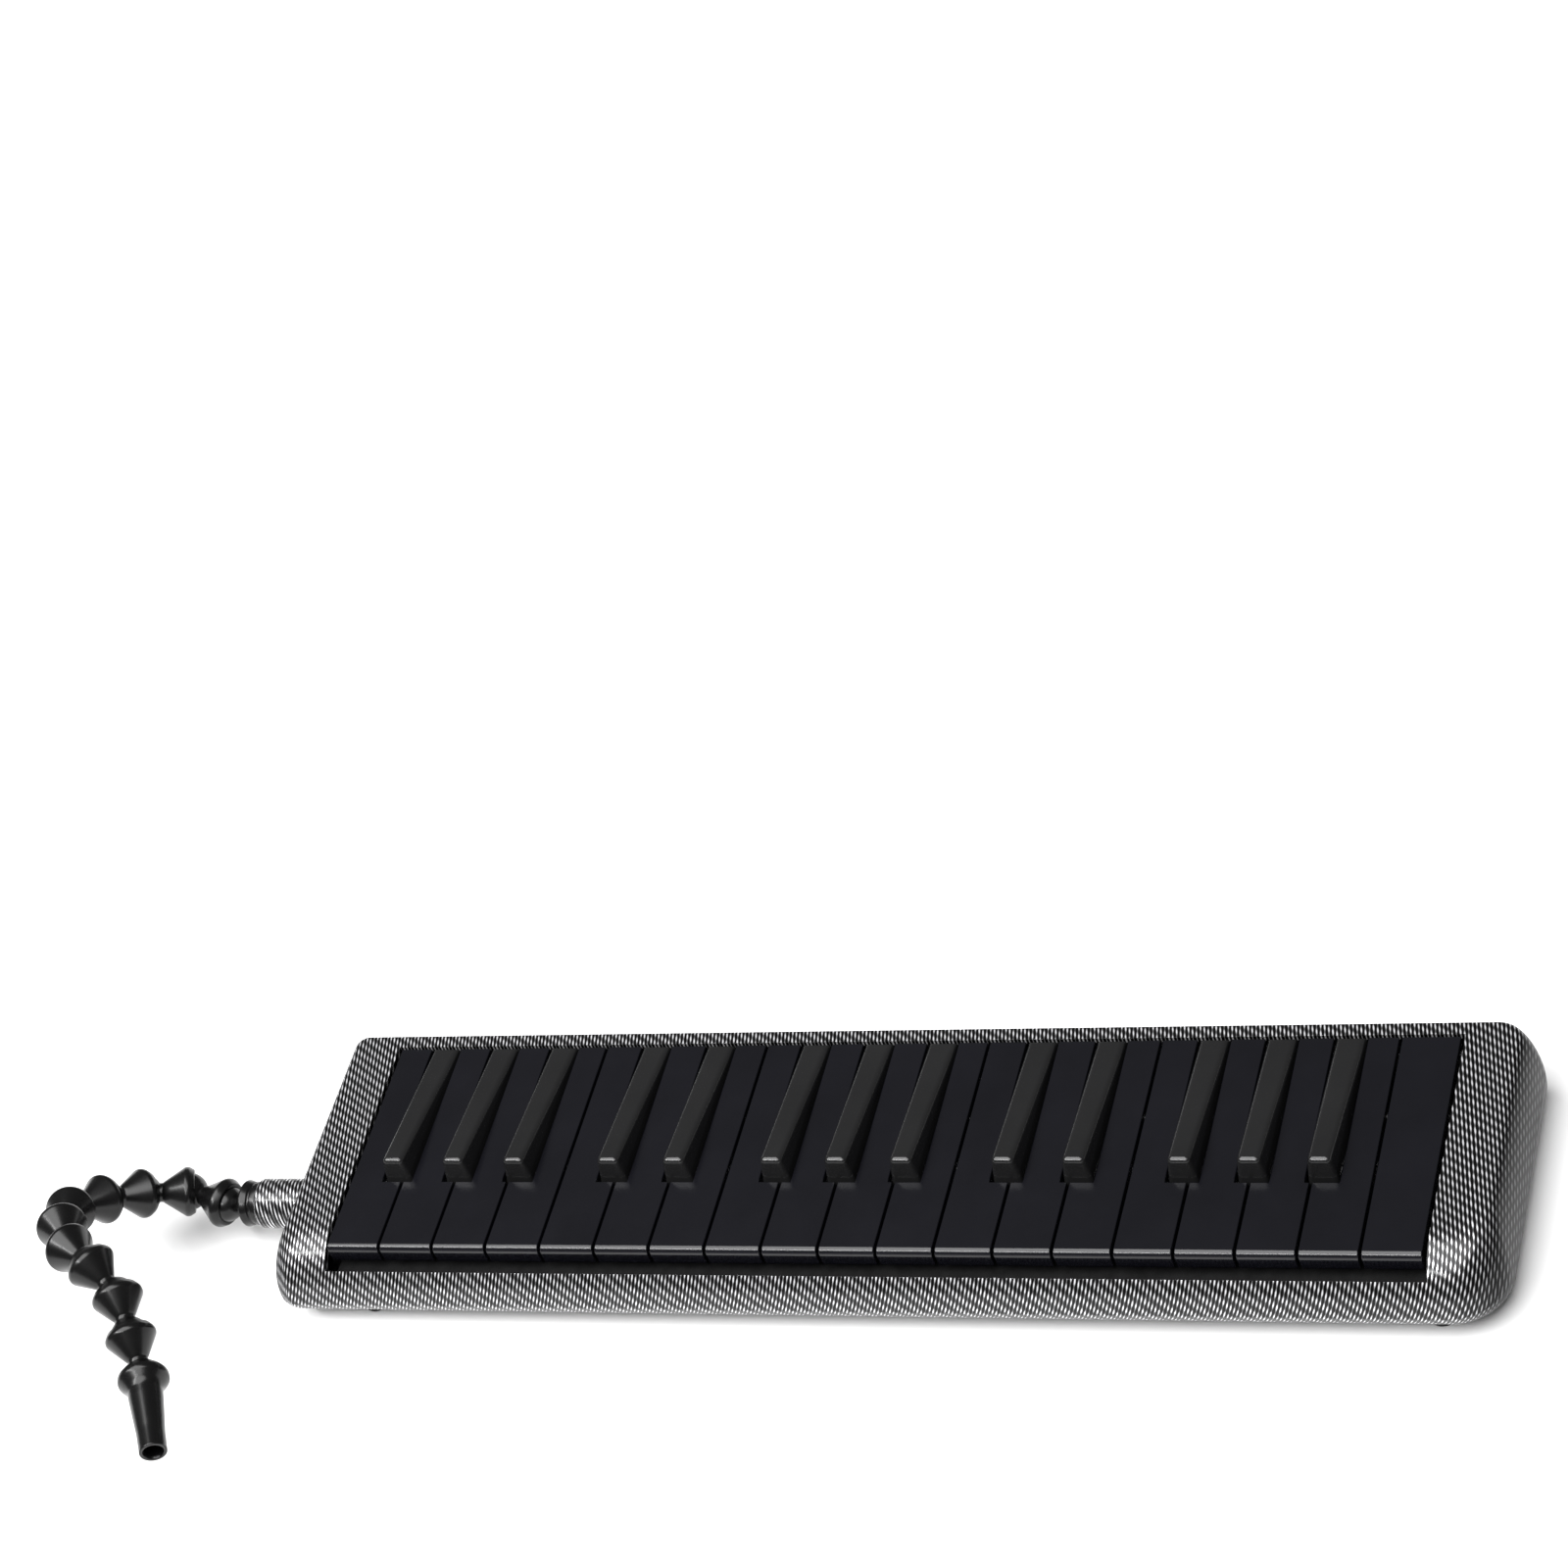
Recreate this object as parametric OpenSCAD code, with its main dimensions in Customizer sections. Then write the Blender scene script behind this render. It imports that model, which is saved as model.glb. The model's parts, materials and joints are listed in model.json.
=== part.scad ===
// Melodica with 32 keys, an articulated blowing tube and its reed works.
// Origin: centre of the bottom cover's underside. +X towards the treble end,
// +Y away from the player, +Z up.

/* [Body] */
// Length of the body from bass end to treble end
body_l = 424; // [422:1:430]
// Depth of the body from front wall to back wall
body_w = 104; // [103:1:108]
// Height of the body from underside to the top of the cheeks
body_h = 29; // [29:0.5:31]
// Wall thickness of both covers
wall = 2.2; // [1.8:0.1:2.6]
// Radius of the rounded upper front edge
nose_r = 20; // [18:0.5:21]
// Radius of the rounded lower front edge
belly_r = 12; // [10:0.5:13]
// Plan radius of the front corner at the bass end
bass_corner_r = 7; // [6:0.5:10]
// Plan radius of the front corner at the treble end
treble_corner_r = 18; // [12:1:20]
// Plan radius of the two back corners
back_corner_r = 8; // [6:1:12]
// Height of the seam between the covers at the front wall
seam_front_z = 3.2; // [3:0.1:4]
// Height of the seam between the covers at the back wall
seam_back_z = 10.5; // [9:0.5:11]

/* [Keyboard] */
// Pitch of the natural keys
pitch = 20; // [19.9:0.05:20.1]
// Gap between neighbouring keys
key_gap = 1; // [0.8:0.1:1.2]
// Visible length of a natural key
key_len = 88; // [87:0.5:88.5]
// Width of the cheek at the bass end
bass_cheek = 22; // [21.5:0.5:22.5]
// Visible length of a sharp key
sharp_len = 58; // [54:1:60]
// Width of a sharp key at its foot
sharp_foot_w = 10; // [9:0.25:10]
// Width of a sharp key at its top
sharp_top_w = 7.4; // [6.5:0.1:8.5]
// Height of a sharp key's front above the naturals
sharp_rise = 8; // [7:0.5:10]
// Height of a sharp key's back above the naturals
sharp_back_rise = 0.5; // [0.3:0.1:3]

/* [Key action] */
// Radius of the steel rod that every key turns on
rod_r = 1.5; // [1.4:0.05:1.6]
// Distance of the rod in front of a key's back end
rod_back = 25.5; // [24:0.5:26]
// Radius of a valve pad
pad_r = 4.5; // [4.2:0.1:4.8]

/* [Blowing tube] */
// Radius of the inlet boss on the bass end
boss_r = 8.7; // [8.4:0.1:9]
// Length of the inlet boss
boss_l = 18; // [16:0.5:19]
// Distance between the ball joints of one link
link_l = 16; // [15.5:0.1:16.5]
// Radius of a link's cup at its rim
cup_r = 8.75; // [8.6:0.05:9]
// Radius of a link's ball
ball_r = 6.6; // [6.4:0.05:6.65]
// Radius of the airway through the tube
airway_r = 2.4; // [2:0.1:2.6]
// Length of the mouthpiece from its ball joint to its tip
mouthpiece_l = 31; // [28:1:34]

/* [Hidden] */
$fn = 48;
eps = 0.01;

NATURALS = 19;
KEYS = 32;
KEY_NAMES = [
    "key_f3", "key_fs3", "key_g3", "key_gs3", "key_a3", "key_as3", "key_b3",
    "key_c4", "key_cs4", "key_d4", "key_ds4", "key_e4",
    "key_f4", "key_fs4", "key_g4", "key_gs4", "key_a4", "key_as4", "key_b4",
    "key_c5", "key_cs5", "key_d5", "key_ds5", "key_e5",
    "key_f5", "key_fs5", "key_g5", "key_gs5", "key_a5", "key_as5", "key_b5",
    "key_c6"
];
LINKS = 10;
LINK_NAMES = [
    "tube_link_01", "tube_link_02", "tube_link_03", "tube_link_04", "tube_link_05",
    "tube_link_06", "tube_link_07", "tube_link_08", "tube_link_09", "tube_link_10"
];
CASE_NAMES = [
    "top_cover", "bottom_cover", "key_bed", "key_axle", "spring_comb", "key_felts",
    "reed_plate_bass", "reed_plate_treble", "reeds", "plate_screws",
    "chamber_gasket", "wind_chamber", "drain_button", "drain_spring",
    "case_screws", "rubber_feet", "tube_plug", "mouthpiece"
];

// colours
weave_grey = [0.33, 0.33, 0.34];
shell_black = [0.10, 0.10, 0.11];
key_black = [0.07, 0.07, 0.08];
sharp_black = [0.10, 0.10, 0.11];
tube_black = [0.04, 0.04, 0.045];
felt_grey = [0.16, 0.16, 0.17];

// outline of the body
front_y = -body_w / 2;
back_y = body_w / 2;
end_x = body_l / 2;
nose_y = front_y + nose_r;
nose_z = body_h - nose_r;
belly_y = front_y + belly_r;

// keyboard
keys_x0 = -end_x + bass_cheek;
keys_l = NATURALS * pitch;
keys_x1 = keys_x0 + keys_l;
keys_y0 = front_y + 10;
keys_y1 = keys_y0 + key_len - 0.5;
well_margin = 0.8;
well_y0 = keys_y0 - 4;
well_y1 = keys_y1 + 1;
natural_t = 2.5;
skirt_h = 7;
skirt_t = 2;
natural_top = body_h;
sharp_offset = 0.8;

// an octave from F: the sharps stand over equal divisions of each group
group_f = 4 * pitch;
group_c = 3 * pitch;
octave_l = group_f + group_c;
OCTAVE_SHARP = [0, 1, 0, 1, 0, 1, 0, 0, 1, 0, 1, 0];
NATURALS_BEFORE = [0, 1, 1, 2, 2, 3, 3, 4, 5, 5, 6, 6];

// reed works, heights above the underside
floor_z = wall;
tray_floor_t = 1.2;
tray_wall = 2.4;
rim_z = 6.5;
gasket_t = 0.5;
plate_z = rim_z + gasket_t;
plate_t = 1;
cells_z = plate_z + plate_t;
deck_z = 13;
deck_t = 2;
deck_top = deck_z + deck_t;
works_x0 = keys_x0 - 0.5;
works_x1 = keys_x1 + 0.5;
works_y0 = -0.5;
works_y1 = 48.5;
cell_y0 = 8;
cell_y1 = 41.5;
cell_wall = 1.8;
pad_y = 38;
valve_r = 3;
reed_root_y = 10;
reed_t = 0.3;
long_reed = 29;
short_reed = 13;
plate_split_x = keys_x0 + 2 * octave_l - group_c;

// key action
rod_y = keys_y1 - rod_back;
rod_z = 20;
rod_gap = 0.05;
hub_r = 3.6;
hub_w = 7;
post_w = 2;
rib_w = 3;
rib_z = 21;
pad_t = 1.5;
pad_gap = 0.05;
felt_t = 1.5;
rail_h = 1.5;
front_rail_y = [keys_y0 - 2, keys_y0 + 3.5];
sharp_rail_y = [-11, -6];

// fixings
screw_r = 1.25;
screw_head_r = 2.4;
screw_l = 16;
post_r = 3.4;
CHEEK_POSTS = [[-203, -33], [-203, 36], [203, -33], [203, 36]];
BED_POSTS = [[-73.5, -30], [66.5, -30]];
FEET = [[-183, -40], [190, -40], [-183, 42], [190, 42]];
foot_r = 5;
foot_h = 3;
foot_stem_r = 2;
foot_seat = 1;
plate_screw_r = 0.95;
plate_screw_head_r = 1.8;
plate_screw_n = 6;
PLATE_SCREW_Y = [5, 44.2];

// drain valve
drain_x = 170;
drain_y = 7;
drain_stem_r = 1.8;
drain_disc_z = floor_z + tray_floor_t + 0.05;
drain_disc_t = 0.8;

// inlet and blowing tube
inlet_y = -12;
inlet_z = 15;
inlet_r = 5.5;
spigot_gap = 0.05;
boss_x = -end_x - boss_l;
elbow_x = -end_x + wall;
elbow_y0 = inlet_y - 8;
elbow_y1 = 9;
elbow_top = 23;
elbow_t = 1.4;
joint_gap = 0.15;
tip_r = 4.7;
tip_bore_r = 3.2;
plug_ball_x = -15.5;
// heading of each link and of the mouthpiece: [compass angle from +X, rise]
TUBE_HEADINGS = [
    [166, 6], [200, 20], [234, 38], [252, 36], [292, 30], [308, 14],
    [326, 8], [322, -18], [302, -16], [300, -20], [296, -4]
];

function heading(i) =
    let (a = TUBE_HEADINGS[i][0], e = TUBE_HEADINGS[i][1])
    [cos(e) * cos(a), cos(e) * sin(a), sin(e)];
function tube_joint(i) =
    i == 0 ? [boss_x + plug_ball_x, inlet_y, inlet_z]
           : tube_joint(i - 1) + link_l * heading(i - 1);

function is_sharp(k) = OCTAVE_SHARP[k % 12] == 1;
function octave_x(k) = keys_x0 + octave_l * floor(k / 12);
function natural_x(k) = octave_x(k) + pitch * NATURALS_BEFORE[k % 12];
// centre of a sharp key's top
function sharp_x(k) = slot_x(k) + sharp_offset;
// centre of the slot that a key's lever, pad and reed cell share
function slot_w(k) = k == KEYS - 1 ? 12 : k % 12 < 7 ? group_f / 7 : group_c / 5;
function slot_x(k) =
    k % 12 < 7 ? octave_x(k) + group_f / 7 * (k % 12 + 0.5)
               : octave_x(k) + group_f + group_c / 5 * (k % 12 - 6.5);
function reed_l(k) = long_reed + (short_reed - long_reed) * k / (KEYS - 1);

// ---------- outline of the whole body, set in by t ----------
module side_profile(t) {
    intersection() {
        union() {
            translate([nose_y, t]) square([back_y - t - nose_y, body_h - 2 * t]);
            translate([front_y + t, t]) square([nose_r, nose_z - t + eps]);
            translate([nose_y, nose_z]) circle(r = nose_r - t);
        }
        union() {
            translate([belly_y, t]) square([back_y - t - belly_y, body_h - 2 * t]);
            translate([front_y + t, belly_r]) square([belly_r, body_h]);
            translate([belly_y, belly_r]) circle(r = belly_r - t);
        }
    }
}

module plan(t) {
    hull() {
        translate([-end_x + bass_corner_r, front_y + bass_corner_r]) circle(r = bass_corner_r - t);
        translate([end_x - treble_corner_r, front_y + treble_corner_r]) circle(r = treble_corner_r - t);
        for (s = [-1, 1])
            translate([s * (end_x - back_corner_r), back_y - back_corner_r]) circle(r = back_corner_r - t);
    }
}

module body_block(t) {
    intersection() {
        translate([-end_x + t, 0, 0])
            rotate([90, 0, 90])
                linear_extrude(body_l - 2 * t) side_profile(t);
        linear_extrude(body_h) plan(t);
    }
}

// everything above the seam, which rises from front to back
module above_seam() {
    slope = (seam_back_z - seam_front_z) / body_w;
    reach = body_w;
    translate([-body_l, 0, 0])
        rotate([90, 0, 90])
            linear_extrude(2 * body_l)
                polygon([
                    [-reach, seam_front_z - slope * (reach - body_w / 2)],
                    [reach, seam_back_z + slope * (reach - body_w / 2)],
                    [reach, 3 * body_h],
                    [-reach, 3 * body_h]
                ]);
}

module key_well() {
    translate([keys_x0 - well_margin, well_y0, deck_top])
        cube([keys_l + 2 * well_margin, well_y1 - well_y0, body_h]);
}

// ---------- covers ----------
module top_cover() {
    color(weave_grey)
        difference() {
            union() {
                intersection() {
                    difference() {
                        body_block(0);
                        body_block(wall);
                        key_well();
                    }
                    above_seam();
                }
                for (p = CHEEK_POSTS)
                    translate([p[0], p[1], deck_z])
                        cylinder(h = body_h - wall - deck_z + eps, r = post_r);
                translate([boss_x, inlet_y, inlet_z])
                    rotate([0, 90, 0])
                        cylinder(h = boss_l + wall, r = boss_r);
            }
            translate([boss_x - 1, inlet_y, inlet_z])
                rotate([0, 90, 0])
                    cylinder(h = boss_l + wall + 2, r = inlet_r);
            for (p = CHEEK_POSTS)
                translate([p[0], p[1], deck_z - 1])
                    cylinder(h = screw_l - deck_z + 2.5, r = screw_r);
        }
}

module bottom_cover() {
    color(shell_black)
        difference() {
            union() {
                difference() {
                    body_block(0);
                    body_block(wall);
                    above_seam();
                    translate([boss_x, inlet_y, inlet_z])
                        rotate([0, 90, 0])
                            cylinder(h = boss_l + wall + 1, r = boss_r);
                }
                for (p = concat(CHEEK_POSTS, BED_POSTS))
                    translate([p[0], p[1], wall - eps])
                        cylinder(h = deck_z - wall + eps, r = post_r);
            }
            for (p = concat(CHEEK_POSTS, BED_POSTS))
                translate([p[0], p[1], -1]) {
                    cylinder(h = deck_z + 2, r = screw_r + 0.15);
                    cylinder(h = 2.6, r = screw_head_r + 0.2);
                }
            for (p = FEET)
                translate([p[0], p[1], -1]) {
                    cylinder(h = wall + 2, r = foot_stem_r);
                    cylinder(h = 1 + foot_seat, r = foot_r + 0.15);
                }
            translate([drain_x, drain_y, -1]) cylinder(h = wall + 2, r = 4.7);
        }
}

// ---------- key bed with its reed cells and rod posts ----------
module rod_post(x) {
    translate([x - post_w / 2, rod_y - 3, deck_top - eps])
        cube([post_w, 6, rod_z - deck_top + 2.6]);
}

module key_bed() {
    color(shell_black)
        difference() {
            union() {
                translate([works_x0, keys_y0 - 3, deck_z])
                    cube([works_x1 - works_x0, works_y1 - keys_y0 + 3, deck_t]);
                translate([works_x0, works_y0, cells_z])
                    cube([works_x1 - works_x0, works_y1 - works_y0, deck_z - cells_z + eps]);
                for (y = [front_rail_y, sharp_rail_y])
                    translate([works_x0 + 1, y[0], deck_top - eps])
                        cube([works_x1 - works_x0 - 2, y[1] - y[0], rail_h + eps]);
                for (k = [0 : KEYS - 1]) rod_post(slot_x(k) - slot_w(k) / 2);
                rod_post(slot_x(KEYS - 1) + 8);
                for (p = BED_POSTS)
                    translate([p[0], p[1], deck_top - eps]) cylinder(h = 2.2, r = 2.6);
            }
            for (k = [0 : KEYS - 1]) {
                w = slot_w(k) - cell_wall;
                translate([slot_x(k) - w / 2, cell_y0, cells_z - 1])
                    cube([w, cell_y1 - cell_y0, deck_z - cells_z + 1]);
                translate([slot_x(k), pad_y, deck_z - 1]) cylinder(h = deck_t + 2, r = valve_r);
            }
            translate([works_x0 - 1, rod_y, rod_z])
                rotate([0, 90, 0]) cylinder(h = keys_l + 4, r = rod_r + 0.02);
            for (p = BED_POSTS)
                translate([p[0], p[1], deck_z - 1]) cylinder(h = 6, r = screw_r);
            plate_screw_places() translate([0, 0, cells_z - 1]) cylinder(h = 5, r = plate_screw_r + 0.05);
        }
}

module key_axle() {
    color("silver")
        translate([works_x0 + 0.5, rod_y, rod_z])
            rotate([0, 90, 0]) cylinder(h = works_x1 - works_x0 - 1, r = rod_r);
}

// one steel strip with a finger under every key, drawn as it lies with the keys down
module spring_comb() {
    color("silver") {
        translate([works_x0 + 3, -4, deck_top])
            cube([works_x1 - works_x0 - 6, 6, 0.4]);
        for (k = [0 : KEYS - 1])
            translate([slot_x(k) - 2, 0, 0])
                rotate([90, 0, 90])
                    linear_extrude(4)
                        polygon([
                            [1.8, deck_top], [1.8, deck_top + 0.4],
                            [11, rib_z - 1], [14, rib_z - 1],
                            [14, rib_z - 1.3], [11.2, rib_z - 1.3]
                        ]);
    }
}

module key_felts() {
    color(felt_grey)
        for (y = [front_rail_y, sharp_rail_y])
            translate([works_x0 + 1.5, y[0] + 0.2, deck_top + rail_h])
                cube([works_x1 - works_x0 - 3, y[1] - y[0] - 0.4, felt_t]);
}

// ---------- reeds ----------
module plate_screw_places() {
    for (i = [0 : 2 * plate_screw_n - 1], y = PLATE_SCREW_Y)
        translate([screw_x(i), y, 0]) children();
}
function screw_x(i) =
    let (side = i < plate_screw_n ? 0 : 1,
         x0 = side == 0 ? works_x0 : plate_split_x,
         x1 = side == 0 ? plate_split_x : works_x1)
    x0 + 6 + (x1 - x0 - 12) * (i % plate_screw_n) / (plate_screw_n - 1);

module reed_plate(x0, x1) {
    color("gainsboro")
        difference() {
            translate([x0, works_y0 + 0.5, plate_z])
                cube([x1 - x0, works_y1 - works_y0 - 1, plate_t]);
            for (k = [0 : KEYS - 1])
                if (slot_x(k) > x0 && slot_x(k) < x1)
                    translate([slot_x(k) - 1.5, reed_root_y + 3, plate_z - 1])
                        cube([3, reed_l(k), plate_t + 2]);
            plate_screw_places()
                translate([0, 0, plate_z - 1]) cylinder(h = 3, r = plate_screw_r + 0.15);
        }
}

module reed_plate_bass() reed_plate(works_x0 + 0.5, plate_split_x - 0.25);
module reed_plate_treble() reed_plate(plate_split_x + 0.25, works_x1 - 0.5);

module reeds() {
    color("goldenrod")
        for (k = [0 : KEYS - 1])
            translate([slot_x(k), reed_root_y, plate_z - reed_t]) {
                translate([-1.3, 0, 0]) cube([2.6, reed_l(k) + 2.6, reed_t]);
                translate([0, 1.5, -0.5]) cylinder(h = 0.6, r = 1.1);
            }
}

module plate_screws() {
    color("silver")
        plate_screw_places() {
            translate([0, 0, plate_z - 0.9]) cylinder(h = 0.9, r = plate_screw_head_r);
            translate([0, 0, plate_z - 0.1]) cylinder(h = 4.6, r = plate_screw_r);
        }
}

// ---------- wind chamber ----------
module tray_ring(z, h) {
    translate([works_x0, works_y0, z])
        difference() {
            cube([works_x1 - works_x0, works_y1 - works_y0, h]);
            translate([tray_wall, tray_wall, -1])
                cube([works_x1 - works_x0 - 2 * tray_wall,
                      works_y1 - works_y0 - 2 * tray_wall, h + 2]);
        }
}

module chamber_gasket() {
    color("dimgray") tray_ring(rim_z, gasket_t);
}

module wind_chamber() {
    color("ivory")
        difference() {
            union() {
                tray_ring(floor_z, rim_z - floor_z);
                translate([works_x0, works_y0, floor_z])
                    cube([works_x1 - works_x0, works_y1 - works_y0, tray_floor_t]);
                translate([elbow_x, elbow_y0, floor_z])
                    cube([works_x0 - elbow_x - 0.05, elbow_y1 - elbow_y0, elbow_top - floor_z]);
                translate([elbow_x, elbow_y0, floor_z])
                    cube([works_x0 - elbow_x + eps, elbow_y1 - elbow_y0, rim_z - floor_z - 0.05]);
            }
            translate([elbow_x + elbow_t, elbow_y0 + elbow_t, floor_z + tray_floor_t])
                cube([works_x0 - elbow_x - 2 * elbow_t, elbow_y1 - elbow_y0 - 2 * elbow_t,
                      elbow_top - floor_z - tray_floor_t - elbow_t]);
            translate([elbow_x - 1, inlet_y, inlet_z])
                rotate([0, 90, 0]) cylinder(h = 4, r = inlet_r);
            translate([works_x0 - 2 * elbow_t, works_y0 + tray_wall, floor_z + tray_floor_t])
                cube([2 * elbow_t + tray_wall + 1, elbow_y1 - elbow_t - tray_wall - works_y0,
                      rim_z - floor_z - tray_floor_t - 0.6]);
            translate([drain_x, drain_y, 0]) cylinder(h = 6, r = drain_stem_r + 0.8);
        }
}

// ---------- drain valve ----------
module drain_button() {
    color(shell_black)
        translate([drain_x, drain_y, 0]) {
            translate([0, 0, -2]) cylinder(h = 2.9, r = 4.4);
            cylinder(h = drain_disc_z + 0.2, r = drain_stem_r);
            translate([0, 0, drain_disc_z]) cylinder(h = drain_disc_t, r = 3.6);
        }
}

// a coil spring drawn as a stack of joined rings
module drain_spring() {
    h = plate_z - drain_disc_z - drain_disc_t;
    wire = 0.25;
    turns = 3;
    color("silver")
        translate([drain_x, drain_y, drain_disc_z + drain_disc_t])
            difference() {
                union() {
                    cylinder(h = h, r = 2);
                    for (i = [0 : turns - 1])
                        translate([0, 0, wire + i * (h - 2 * wire) / (turns - 1)])
                            rotate_extrude() translate([2, 0]) circle(r = wire, $fn = 16);
                }
                translate([0, 0, -1]) cylinder(h = h + 2, r = 1.75);
            }
}

// ---------- fixings ----------
module case_screws() {
    color("silver")
        for (p = concat(CHEEK_POSTS, BED_POSTS))
            translate([p[0], p[1], 0]) {
                translate([0, 0, 0.2]) cylinder(h = 1.4, r = screw_head_r);
                translate([0, 0, 1]) cylinder(h = screw_l - 1.2, r = screw_r - 0.02);
            }
}

module rubber_feet() {
    color("dimgray")
        for (p = FEET)
            translate([p[0], p[1], 0]) {
                translate([0, 0, -foot_h]) cylinder(h = foot_h + foot_seat, r = foot_r);
                cylinder(h = wall, r = foot_stem_r - 0.02);
            }
}

// ---------- keys ----------
module pad(k) {
    color(felt_grey)
        translate([slot_x(k), pad_y, deck_top + pad_gap]) cylinder(h = pad_t - eps, r = pad_r);
}

// lever, hub and pad arm under a key plate, from y0 back to the pad
module lever(k, y0, plate_z0) {
    x = slot_x(k);
    arm_z = deck_top + pad_gap + pad_t;
    translate([x - rib_w / 2, y0, rib_z])
        cube([rib_w, keys_y1 - 1 - y0, plate_z0 - rib_z + eps]);
    translate([x - rib_w / 2, pad_y - 3, arm_z])
        cube([rib_w, 6, rib_z - arm_z + eps]);
    translate([x, pad_y, arm_z]) cylinder(h = 1.2, r = pad_r - 0.3);
    translate([x - hub_w / 2, rod_y - hub_r, rod_z])
        cube([hub_w, 2 * hub_r, plate_z0 - rod_z + eps]);
    translate([x - hub_w / 2, rod_y, rod_z])
        rotate([0, 90, 0]) cylinder(h = hub_w, r = hub_r);
}

module rod_bore(k) {
    translate([slot_x(k) - hub_w, rod_y, rod_z])
        rotate([0, 90, 0]) cylinder(h = 2 * hub_w, r = rod_r + rod_gap);
}

// room that a sharp key takes out of its neighbours
module sharp_notch(k) {
    w = sharp_foot_w + 1.4;
    translate([sharp_x(k) - w / 2, keys_y1 - sharp_len - 0.8, 0])
        cube([w, sharp_len + 2, body_h + 1]);
}

module natural_key(k) {
    x0 = natural_x(k) + key_gap / 2;
    w = pitch - key_gap;
    color(key_black)
        difference() {
            union() {
                difference() {
                    union() {
                        translate([x0, keys_y0, natural_top - natural_t])
                            cube([w, keys_y1 - keys_y0, natural_t]);
                        translate([x0, keys_y0, natural_top - skirt_h])
                            cube([w, skirt_t, skirt_h]);
                    }
                    if (k > 0 && is_sharp(k - 1)) sharp_notch(k - 1);
                    if (k < KEYS - 1 && is_sharp(k + 1)) sharp_notch(k + 1);
                }
                lever(k, keys_y0 + 5, natural_top - natural_t);
            }
            rod_bore(k);
        }
    pad(k);
}

module sharp_key(k) {
    y0 = keys_y1 - sharp_len;
    foot_z = natural_top - natural_t - 0.5;
    color(sharp_black)
        difference() {
            union() {
                intersection() {
                    translate([sharp_x(k) - sharp_foot_w / 2, 0, 0])
                        rotate([90, 0, 90])
                            linear_extrude(sharp_foot_w)
                                polygon([
                                    [y0, foot_z],
                                    [keys_y1, foot_z],
                                    [keys_y1, natural_top + sharp_back_rise],
                                    [y0 + 3.4, natural_top + sharp_rise],
                                    [y0 + 1.6, natural_top + sharp_rise - 1]
                                ]);
                    translate([sharp_x(k), keys_y1, 0])
                        rotate([90, 0, 0])
                            linear_extrude(sharp_len)
                                polygon([
                                    [-sharp_foot_w / 2, foot_z],
                                    [sharp_foot_w / 2, foot_z],
                                    [sharp_foot_w / 2, natural_top],
                                    [sharp_top_w / 2, natural_top + sharp_rise],
                                    [-sharp_top_w / 2, natural_top + sharp_rise],
                                    [-sharp_foot_w / 2, natural_top]
                                ]);
                }
                lever(k, y0 + 1, foot_z);
            }
            rod_bore(k);
        }
    pad(k);
}

module key(k) {
    if (is_sharp(k)) sharp_key(k);
    else natural_key(k);
}

// ---------- blowing tube ----------
module along(i) {
    translate(tube_joint(i))
        rotate([0, 90 - TUBE_HEADINGS[i][1], TUBE_HEADINGS[i][0]])
            children();
}

// a cup with a chamfered mouth, open towards -Z
module cup_outside(taper_l, end_r) {
    rim = 1.2;
    mouth = 2;
    translate([0, 0, -mouth]) cylinder(h = mouth, r1 = cup_r - 1.2, r2 = cup_r);
    translate([0, 0, -eps]) cylinder(h = rim + eps, r = cup_r);
    translate([0, 0, rim]) cylinder(h = taper_l - rim, r1 = cup_r, r2 = end_r);
}

module cup_inside() {
    sphere(r = ball_r + joint_gap);
    cylinder(h = 9, r1 = 5.8, r2 = airway_r);
}

module ball_end(z, neck_z) {
    neck_r = 3.4;
    intersection() {
        translate([0, 0, z]) sphere(r = ball_r);
        translate([0, 0, neck_z]) cylinder(h = z - neck_z + 4.4, r = 2 * ball_r);
    }
    translate([0, 0, neck_z - 1]) cylinder(h = z - neck_z, r = neck_r);
}

module tube_link(i) {
    color(tube_black)
        along(i)
            difference() {
                union() {
                    cup_outside(8.6, 4);
                    ball_end(link_l, 9.4);
                }
                cup_inside();
                cylinder(h = 2 * link_l, r = airway_r);
            }
}

module mouthpiece() {
    collar_l = 5;
    tip_l = 8;
    color(tube_black)
        along(LINKS)
            difference() {
                union() {
                    cup_outside(collar_l, 6);
                    translate([0, 0, collar_l - 1.5])
                        cylinder(h = mouthpiece_l - tip_l - collar_l + 1.5, r1 = 5.9, r2 = tip_r);
                    translate([0, 0, mouthpiece_l - tip_l - eps])
                        cylinder(h = tip_l + eps, r = tip_r);
                }
                cup_inside();
                cylinder(h = mouthpiece_l + 1, r = airway_r);
                translate([0, 0, mouthpiece_l - 12]) cylinder(h = 13, r = tip_bore_r);
            }
}

module tube_plug() {
    spigot_l = 18;
    collar_l = 9;
    color(tube_black)
        translate([boss_x, inlet_y, inlet_z])
            rotate([0, -90, 0])
                difference() {
                    union() {
                        translate([0, 0, -spigot_l])
                            cylinder(h = spigot_l + 1, r = inlet_r - spigot_gap);
                        cylinder(h = 2.4, r = 7.6);
                        translate([0, 0, 2.4]) cylinder(h = 1.2, r = 7);
                        translate([0, 0, 3.6]) cylinder(h = 2.6, r1 = 7.4, r2 = 8.3);
                        translate([0, 0, 6.2]) cylinder(h = collar_l - 6.2, r1 = 8.3, r2 = 4.2);
                        ball_end(-plug_ball_x, collar_l);
                    }
                    translate([0, 0, -spigot_l - 1]) cylinder(h = 60, r = airway_r);
                }
}

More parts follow.
